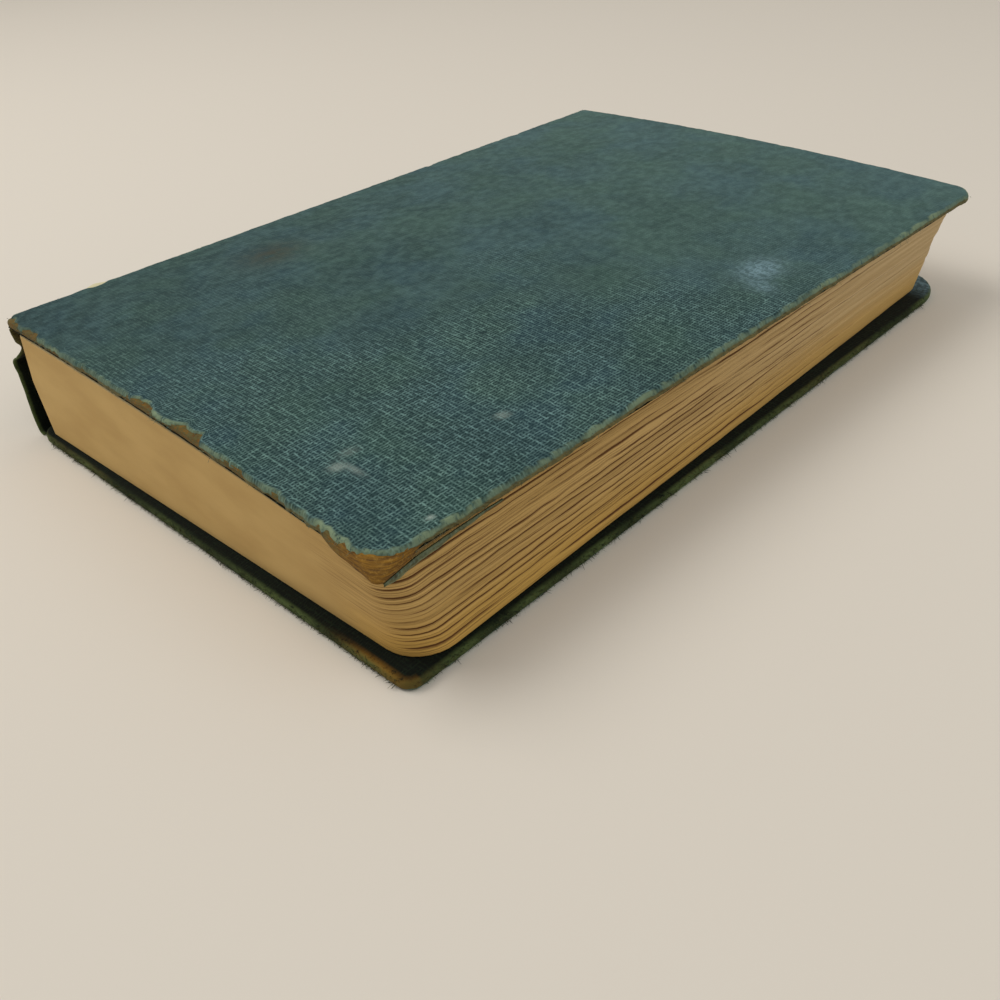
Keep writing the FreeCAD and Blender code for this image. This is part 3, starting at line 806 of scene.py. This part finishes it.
def make_pages():
    """The block of pages: gatherings that lean and twist, rounded at the fore-edge, with painted shade in the gaps
    between them.
    """
    thicknesses = 1 + 0.22 * np.random.default_rng(5).uniform(-1, 1, GATHERINGS)
    thicknesses[-1], thicknesses[-2] = 0.55, 0.7
    bounds = np.concatenate([[0], np.cumsum(thicknesses)]) / thicknesses.sum()
    shares, offsets = [], []
    for index in range(GATHERINGS):
        for part in PARTS:
            shares.append(bounds[index] + (bounds[index + 1] - bounds[index]) * part)
            offsets.append((index, part))
    shares.append(1.0)
    offsets.append((GATHERINGS - 1, 1.0))
    rings, flats, grooves = [], [], []
    fore_roof, spine_roof = pages_roof(np.array([62.0, -59.0]), np.zeros(2))
    fore_share = (fore_roof - PAGES_FLOOR) / (LEANS_ROOF - PAGES_FLOOR)
    spine_share = (spine_roof - PAGES_FLOOR) / (LEANS_ROOF - PAGES_FLOOR)
    for share, (index, part) in zip(shares, offsets):
        square, leaf = level_corners(share * fore_share)
        spine_square, spine_leaf = level_corners(share * spine_share)
        ring = rounded_outline(square, [1.0, leaf, leaf, 1.0])
        spine_ring = rounded_outline(spine_square, [1.0, spine_leaf, spine_leaf, 1.0])
        toward_fore = smooth(-60, 60, ring[:, 0])[:, None]
        ring = ring * toward_fore + spine_ring * (1 - toward_fore)
        count = len(ring)
        fore_weight = smooth(square[1][0] - 6.5, square[1][0] - 0.8, ring[:, 0])
        fore_tone = smooth(square[1][0] - 24, square[1][0] - 3, ring[:, 0])
        along = ring[:, 1]
        tangent = np.roll(ring, -1, axis=0) - np.roll(ring, 1, axis=0)
        outward = np.stack([tangent[:, 1], -tangent[:, 0]], axis=-1)
        outward /= np.maximum(np.linalg.norm(outward, axis=1, keepdims=True), 1e-6)
        joint = index if part < 0.5 else index + 1
        nearness = max(0.0, 1 - min(part, 1 - part) / 0.2)
        strength = 0.75 + 0.5 * ripple(along, 300 + joint, 22) + 0.25 * ripple(along, 340 + joint, 4)
        fading = 1 - 0.8 * smooth(-40, 70, along)
        groove = np.clip(nearness ** 1.5 * strength * fading * fore_weight, 0, 1)
        if joint in (0, GATHERINGS):
            groove = groove * 0.3
        own = 0.16 * ripple(along, 400 + index, 45) + 0.06 * ripple(along, 430 + index, 6)
        ring = ring + outward * (fore_weight * own - 0.3 * groove)[:, None]
        wave = fore_weight * (0.16 * ripple(along, 500 + joint, 17) + 0.09 * ripple(along, 540 + joint, 3.6)
                              + 0.04 * ripple(along, 580 + joint, 1.5))
        roof = pages_roof(ring[:, 0], ring[:, 1])
        inner = 4 * share * (1 - share)
        z = PAGES_FLOOR + (roof - PAGES_FLOOR) * share + wave * min(1.0, inner * 3)
        rings.append(np.column_stack([ring, z]))
        walked = np.concatenate([[0], np.cumsum(np.linalg.norm(np.diff(ring, axis=0), axis=1))])
        run = walked - walked[TURNS + SIDE_STEPS[0] + TURNS // 2] + square[1][1]
        flats.append(np.column_stack([run, np.full(count, share * FLAT_HEIGHT), fore_tone]))
        grooves.append(groove)
    faces = grid_faces(len(rings), count, closed=True)
    edge_faces = len(faces)
    for edge_row, flip in ((len(shares) - 1, False), (0, True)):
        edge = rings[edge_row][:, :2]
        faces += end_faces(edge_row * count, len(rings) * count, count, 10, flip)
        for inner in end_rings(edge, edge.mean(axis=0), 10):
            z = np.full(count, PAGES_FLOOR) if flip else pages_roof(inner[:, 0], inner[:, 1])
            rings.append(np.column_stack([inner, z]))
            flats.append(np.column_stack([inner[:, 1], np.full(count, FLAT_HEIGHT / 2), np.zeros(count)]))
            grooves.append(np.zeros(count))
    pages = add_mesh("pages", np.concatenate(rings), faces, "pages", EDGES, np.concatenate(flats),
                     {"groove": np.concatenate(grooves)})
    pages.data.materials.append(ENDPAPER)
    for polygon in pages.data.polygons[edge_faces:]:
        polygon.material_index = 1
    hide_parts("text_block")


make_pages()

# Cloth turned in round the covers
INSIDE = [(1.6, 0.1), (2.6, -0.03), (4.0, -0.03), (6.6, -0.03), (8.6, GLUED), (TURN_IN, GLUED)]
front_turned = turned_in("front_turned_in", front_place, "front_cover", TURNED_CORNERS, 600,
                         [(0.55, GLUED + 0.25), (0.65, GLUED + 0.08), (0.9, GLUED)] + INSIDE)


def back_losses(u, v):
    """The back cloth is only rubbed at its edges."""
    return fray(u, 50, 0.05), fray(u, 52, 0.05), fray(v, 54, 0.05), fray(v, 56, 0.05)


back_sheet = cover_sheet("back_cloth", back_place, "back_cover", BACK_CORNERS, back_losses, back_wrap, 700, 0.0)
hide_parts("cover_cloth_back")
back_rolled = [(0.7, COVER_THICKNESS - 0.2), (0.25, COVER_THICKNESS - 0.35), (0.02, COVER_THICKNESS - 0.7),
               (0.0, COVER_THICKNESS / 2), (0.02, GLUED + 0.4), (0.3, GLUED + 0.08), (0.8, GLUED)]
back_board = board_block("worn_back_board", back_place, "back_cover", BACK_BOARD_CORNERS, BACK_BOARD_CORNERS, 260)
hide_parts("back_board")
back_turned = turned_in("back_turned_in", back_place, "back_cover", BACK_CORNERS, 800, back_rolled + INSIDE)


def make_back_pastedown():
    """The paper pasted inside the back cover, with its head corner cut round like the cover's."""
    low, high = (np.array(corner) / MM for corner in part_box("back_pastedown"))
    square = [(low[0], low[1]), (high[0], low[1]), (high[0], high[1]), (low[0], high[1])]
    ring = rounded_outline(square, [0.5, 2.0, 11.0, 0.5])
    count = len(ring)
    points = np.concatenate([np.column_stack([ring, np.full(count, z)]) for z in (low[2], high[2])])
    faces = grid_faces(2, count, closed=True) + [tuple(range(count))[::-1], tuple(range(count, 2 * count))]
    piece = add_mesh("back_endpaper", points, faces, "back_cover", ENDPAPER, smooth_faces=False)
    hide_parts("back_pastedown")


make_back_pastedown()


# Spine cloth and small loose pieces
def sheet_piece(name, top, under, flat, masks, body, material, inner_material):
    """A small piece of cloth with two sides, each with its own material."""
    rows, columns = top.shape[:2]
    masks = cloth_masks((rows, columns), **masks)
    points, faces, data = welded(top.reshape(-1, 3), under.reshape(-1, 3), grid_faces(rows, columns),
                                 [flat] + list(masks.values()))
    piece = add_mesh(name, points, faces, body, material, data[0], dict(zip(masks, data[1:])))
    piece.data.materials.append(inner_material)
    outer = (rows - 1) * (columns - 1)
    for polygon in piece.data.polygons[outer:]:
        polygon.material_index = 1
    return piece


def curve_through(points, steps):
    """A smooth line through points, with a number of steps between each two."""
    points = np.asarray(points, float)
    ends = np.concatenate([2 * points[:1] - points[1:2], points, 2 * points[-1:] - points[-2:-1]])
    share = np.arange(steps)[:, None] / steps
    line = []
    for before, here, there, after in zip(ends, ends[1:], ends[2:], ends[3:]):
        bend = 2 * before - 5 * here + 4 * there - after
        twist = 3 * here - before - 3 * there + after
        line.append(0.5 * (2 * here + (there - before) * share + bend * share ** 2 + twist * share ** 3))
    return np.concatenate(line + [points[-1:]])


def spine_edge(y, z):
    """Where the spine side of the pages is."""
    square, _ = level_corners((z - PAGES_FLOOR) / (LEANS_ROOF - PAGES_FLOOR))
    return square[0][0] + (square[3][0] - square[0][0]) * (y - square[0][1]) / (square[3][1] - square[0][1])


def make_spine_cloth():
    """The cloth over the hollow spine: down from the front cover into its joint, round the back and under."""
    rear, top = -COVER_WIDTH / 2 - 2.2, front_hinge.z
    ends = np.concatenate([np.arange(0, 3, 0.3), np.linspace(3, 186.4, 150), 189.4 - np.arange(0, 3, 0.3)[::-1]])
    outer, inner, flat, worn, browned = [], [], [], [], []
    for along in ends:
        y = -94.5 + along
        front = front_hinge.x + (y - front_hinge.y) * math.tan(COVER_SLEW)
        groove = spine_edge(y, top - 3.6) - 1.0
        shoulder = front - 0.44
        wave = 0.12 * float(ripple(along, 900, 14))
        line = curve_through([(front + 0.3, top - 0.6), ((front + groove) / 2, top - 2.3), (groove, top - 3.6),
                              ((shoulder + groove) / 2, top - 6.4), (shoulder - 0.6, top - 8.2),
                              (shoulder - 0.9 + wave, top - 11.4), (rear - 0.7 - wave, 10.5), (rear - 0.2, 3.0),
                              (rear + 0.5, 0.9), (rear + 1.6, 0.3)], 5)
        way = np.gradient(line, axis=0)
        way /= np.linalg.norm(way, axis=1, keepdims=True)
        side = np.stack([way[:, 1], -way[:, 0]], axis=-1) * CLOTH / 2
        number = np.arange(len(line))
        from_end = min(along, 189.4 - along)
        joint = 1 - smooth(10, 16, number)
        torn = 0.2 * ripple(number, 910 + (along > 90), 2.1) + 0.15 * ripple(number, 920, 5) + 0.9 * joint + 0.15
        shift = torn * (1 - smooth(0, 4, from_end)) * (1 if along < 90 else -1)
        for store, sign in ((outer, 1), (inner, -1)):
            points = line + sign * side
            store.append(np.column_stack([points[:, 0], y + shift, np.maximum(points[:, 1], 0.06)]))
        run = np.concatenate([[0], np.cumsum(np.linalg.norm(np.diff(line, axis=0), axis=1))])
        flat.append(np.column_stack([run - 30, np.full(len(line), along), np.zeros(len(line))]))
        worn.append((1 - smooth(0.2, 1.0, from_end)) * (1 - 0.8 * joint))
        browned.append((1 - smooth(1.5, 6, from_end)) * joint)
    outer, inner, flat = np.array(outer), np.array(inner), np.array(flat)
    # The inner face of the spine cloth is the cloth with painted shade, dark for the shade inside the hollow spine.
    piece = sheet_piece("spine_cloth", outer, inner, flat, {"worn": np.array(worn), "browned": np.array(browned),
                                                           "crisp": np.full(outer.shape[:2], 0.3)},
                        "pages", TEAL, SHADED_CLOTH)
    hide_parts("cover_cloth_spine")


def make_loose_strip():
    """A strip of turned-in cloth that has come away under the fore-edge of the front cover, by its bare tip."""
    along, across = np.meshgrid(np.linspace(0.8, 25.5, 80), np.linspace(0, 1, 8), indexing="ij")
    tall = 1.15 * (1 - (along / 26) ** 2) + 0.12 + 0.12 * ripple(along, 930, 3) + 0.08 * ripple(along, 931, 0.8)
    tall = tall * (0.35 + 0.65 * smooth(0, 4, along))
    w = 0.4 - 1.55 * np.exp(-along / 7) - tall * across
    u = COVER_WIDTH + 0.02 + 0.4 * np.exp(-along / 5) + 0.16 * np.sin(math.pi * across) + 0.05 * ripple(along, 932, 2)
    flat = np.stack([u - tall * across, along, w], axis=-1)
    fade = 0.5 + 0.4 * (across > 0.7) + 0.3 * ripple_field(along, across * 4, 933, 1.2)
    # The strip's inner side is the cloth with painted shade.
    piece = sheet_piece("loose_turned_in", front_place(u, along, w), front_place(u - 0.25, along, w), flat,
                        {"worn": 0.5 * fade, "browned": 0.55 + 0.3 * (across > 0.5), "crisp": np.ones(u.shape)},
                        "front_cover", TEAL, SHADED_CLOTH)


def make_paper_sliver():
    """A sliver of paper lining that shows at a nick in the spine edge of the front cover."""
    along, across = np.meshgrid(np.linspace(19.3, 25.4, 26), np.linspace(0, 1, 6), indexing="ij")
    wide = 2.1 * np.sin(math.pi * np.clip((along - 19.3) / 6.1, 0, 1)) ** 0.7 + 0.1
    u = 0.7 - wide * across + 0.08 * ripple(along, 940, 0.9)
    w = COVER_THICKNESS - 0.35 + 0.25 * np.sin(math.pi * across) + 0.08 * ripple(along, 941, 1.5)
    points = np.concatenate([front_place(u, along, w).reshape(-1, 3), front_place(u, along, w - 0.12).reshape(-1, 3)])
    faces = grid_faces(26, 6) + grid_faces(26, 6, start=26 * 6)
    piece = add_mesh("paper_sliver", points, faces, "front_cover", PALE_PAPER)


def loose_threads(name, place, body, material, roots, ways, lengths, seed, brown):
    """Short curled thread ends that stand off a worn edge of cloth."""
    rng = np.random.default_rng(seed)
    steps, sides = 5, 3
    share = np.linspace(0, 1, steps)[:, None]
    points, faces, flats = [], [], []
    worn, browned = [], []
    for root, way, length in zip(roots, ways, lengths):
        way = way / np.linalg.norm(way)
        curl = rng.normal(0, 0.55, 3)
        line = root + length * (share * way + share ** 2 * curl)
        first = np.cross(way, (0.3, 0.5, 0.8))
        first /= np.linalg.norm(first)
        second = np.cross(way, first)
        base = len(points) * steps * sides
        radius = rng.uniform(0.035, 0.075) * (1 - 0.6 * share[:, 0])
        tube = [line + radius[:, None] * (math.cos(turn) * first + math.sin(turn) * second)
                for turn in np.linspace(0, 2 * math.pi, sides, endpoint=False)]
        tube = np.stack(tube, axis=1).reshape(-1, 3)
        faces += grid_faces(steps, sides, start=base, closed=True)
        points.append(tube)
        flats.append(tube + rng.uniform(0, 40))
        worn += [0.9 * rng.uniform(0, 1)] * steps * sides
        browned += [float(rng.random() < brown)] * steps * sides
    points = np.concatenate(points)
    masks = cloth_masks(len(points), worn=np.array(worn), browned=np.array(browned), crisp=np.ones(len(points)))
    placed = place(points[:, 0], points[:, 1], points[:, 2])
    placed[:, 2] = np.maximum(placed[:, 2], 0.05)
    piece = add_mesh(name, placed, faces, body, material, np.concatenate(flats), masks)


def scatter(rng, count, *columns):
    """Random rows. Each column has a mean and a spread, and one without spread takes no random draw."""
    return np.column_stack([rng.normal(mean, spread, count) if spread else np.full(count, float(mean))
                            for mean, spread in columns])


def front_threads():
    """Thread ends along the worn edges of the front cover, thickest where the cloth is torn."""
    rng = np.random.default_rng(950)
    u = np.concatenate([rng.uniform(0, 122, 170), rng.normal(66, 7, 90), rng.normal(12, 5, 50), rng.normal(3, 2, 40)])
    u = np.clip(u, 0.3, 122)
    tail, _, _, _ = front_losses(u, np.zeros(len(u)))
    roots = np.column_stack([u, tail + 0.15, COVER_THICKNESS - rng.uniform(0.3, 1.2, len(u))])
    ways = scatter(rng, len(u), (0, 0.6), (-1, 0), (-0.3, 0.4))
    v = rng.uniform(4, 188, 150)
    levels = COVER_THICKNESS - rng.uniform(0.3, 1.6, len(v))
    roots_fore = np.column_stack([np.full(len(v), COVER_WIDTH - 0.1), v, levels])
    ways_fore = scatter(rng, len(v), (0.5, 0), (0, 1), (-0.2, 0.5))
    v = np.concatenate([rng.uniform(2, 188, 60), rng.uniform(186, 190, 30)])
    roots_spine = np.column_stack([np.full(len(v), 0.3), v, COVER_THICKNESS - rng.uniform(0.1, 0.4, len(v))])
    ways_spine = scatter(rng, len(v), (-0.3, 0), (0.2, 1), (-0.1, 0.2))
    lengths = np.concatenate([rng.uniform(0.25, 0.8, len(u)), rng.uniform(0.25, 0.6, len(roots_fore)),
                              rng.uniform(0.2, 0.5, len(v))])
    loose_threads("front_threads", front_place, "front_cover", TEAL, np.concatenate([roots, roots_fore, roots_spine]),
                  np.concatenate([ways, ways_fore, ways_spine]), lengths, 951, 0.35)


def back_threads():
    """The fuzz of worn cloth round the tail and the fore-edge of the back cover."""
    rng = np.random.default_rng(960)
    u, v = rng.uniform(5, 124, 1300), rng.uniform(3, 176, 1500)
    level_u, level_v = rng.uniform(0.3, 2.1, len(u)), rng.uniform(0.3, 2.1, len(v))
    roots = np.concatenate([np.column_stack([u, np.full(len(u), 0.08), level_u]),
                            np.column_stack([np.full(len(v), COVER_WIDTH - 0.08), v, level_v])])
    ways = np.concatenate([scatter(rng, len(u), (0, 0.8), (-1, 0), (0, 0.5)),
                           scatter(rng, len(v), (1, 0), (0, 0.8), (0, 0.5))])
    lengths = rng.uniform(0.2, 0.65, len(roots))
    # The fuzz uses the cloth with painted shade, so it is dark apart from its worn threads.
    loose_threads("back_threads", back_place, "back_cover", SHADED_CLOTH, roots, ways, lengths, 961, 0.3)


make_spine_cloth()
make_loose_strip()
make_paper_sliver()
front_threads()
back_threads()

for node, material in (("spine_inlay", CARD), ("spine_lining", MULL), ("front_pastedown", ENDPAPER)):
    frame["nodes"][node].data.materials.clear()
    frame["nodes"][node].data.materials.append(material)


# Room, light and camera
def plain(name, color):
    """A plain matt material for the floor."""
    n = Nodes(name)
    tone = n.noise(n.place(), 2.0, 2.0, 0.5)
    return n.finish(n.mix(tone, color, tinted(color, 0.97, 0.97, 0.97)), tone, 0.01, 0.1, 1.0)


FLOOR_HALF = 4000.0
floor = add_mesh("floor", [(x * FLOOR_HALF, y * FLOOR_HALF, 0) for x, y in ((-1, -1), (1, -1), (1, 1), (-1, 1))],
                 [(0, 1, 2, 3)], None, plain("floor", srgb(226, 219, 207)))

world = bpy.data.worlds.new("world")
bpy.context.scene.world = world
world.use_nodes = True
nodes, links = world.node_tree.nodes, world.node_tree.links
nodes["Background"].inputs["Color"].default_value = (1.0, 0.97, 0.93, 1.0)
nodes["Background"].inputs["Strength"].default_value = 0.42
sky = nodes.new("ShaderNodeBackground")
sky.inputs["Color"].default_value = srgb(211, 203, 190)
rays = nodes.new("ShaderNodeLightPath")
seen = rays.outputs["Is Camera Ray"]
for ray in ("Is Glossy Ray", "Is Transmission Ray"):
    either = nodes.new("ShaderNodeMath")
    either.operation = "MAXIMUM"
    links.new(seen, either.inputs[0])
    links.new(rays.outputs[ray], either.inputs[1])
    seen = either.outputs[0]
choice = nodes.new("ShaderNodeMixShader")
links.new(seen, choice.inputs[0])
links.new(nodes["Background"].outputs[0], choice.inputs[1])
links.new(sky.outputs[0], choice.inputs[2])
links.new(choice.outputs[0], nodes["World Output"].inputs["Surface"])


def soft_light(name, place, target, width, power, color):
    """A large soft lamp that points at a target."""
    lamp = bpy.data.lights.new(name, "AREA")
    lamp.shape = "SQUARE"
    lamp.size = width * MM
    lamp.energy = power
    lamp.color = color
    holder = bpy.data.objects.new(name, lamp)
    holder.location = Vector(place) * MM
    holder.rotation_euler = (Vector(target) - Vector(place)).to_track_quat("-Z", "Y").to_euler()
    bpy.context.collection.objects.link(holder)


soft_light("window", (-500, -350, 900), (0, 0, 0), 700, 5.6, (1.0, 0.97, 0.93))
soft_light("fill", (700, 100, 800), (0, 0, 0), 900, 2.2, (0.95, 0.98, 1.0))

camera_data = bpy.data.cameras.new("camera")
camera_data.lens = LENS
camera_data.sensor_width = 36.0
camera = bpy.data.objects.new("camera", camera_data)
ahead = Vector((math.cos(CAMERA_HEADING) * math.cos(CAMERA_PITCH), math.sin(CAMERA_HEADING) * math.cos(CAMERA_PITCH),
                -math.sin(CAMERA_PITCH)))
level = ahead.cross(Vector((0, 0, 1))).normalized()
upright = level.cross(ahead)
right = level * math.cos(CAMERA_ROLL) + upright * math.sin(CAMERA_ROLL)
up = upright * math.cos(CAMERA_ROLL) - level * math.sin(CAMERA_ROLL)
camera_turn = Matrix((right, up, -ahead)).transposed().to_4x4()
camera.matrix_world = Matrix.Translation(Vector(CAMERA_PLACE) * MM) @ camera_turn
bpy.context.collection.objects.link(camera)
bpy.context.scene.camera = camera
bpy.context.scene.view_settings.view_transform = "Standard"
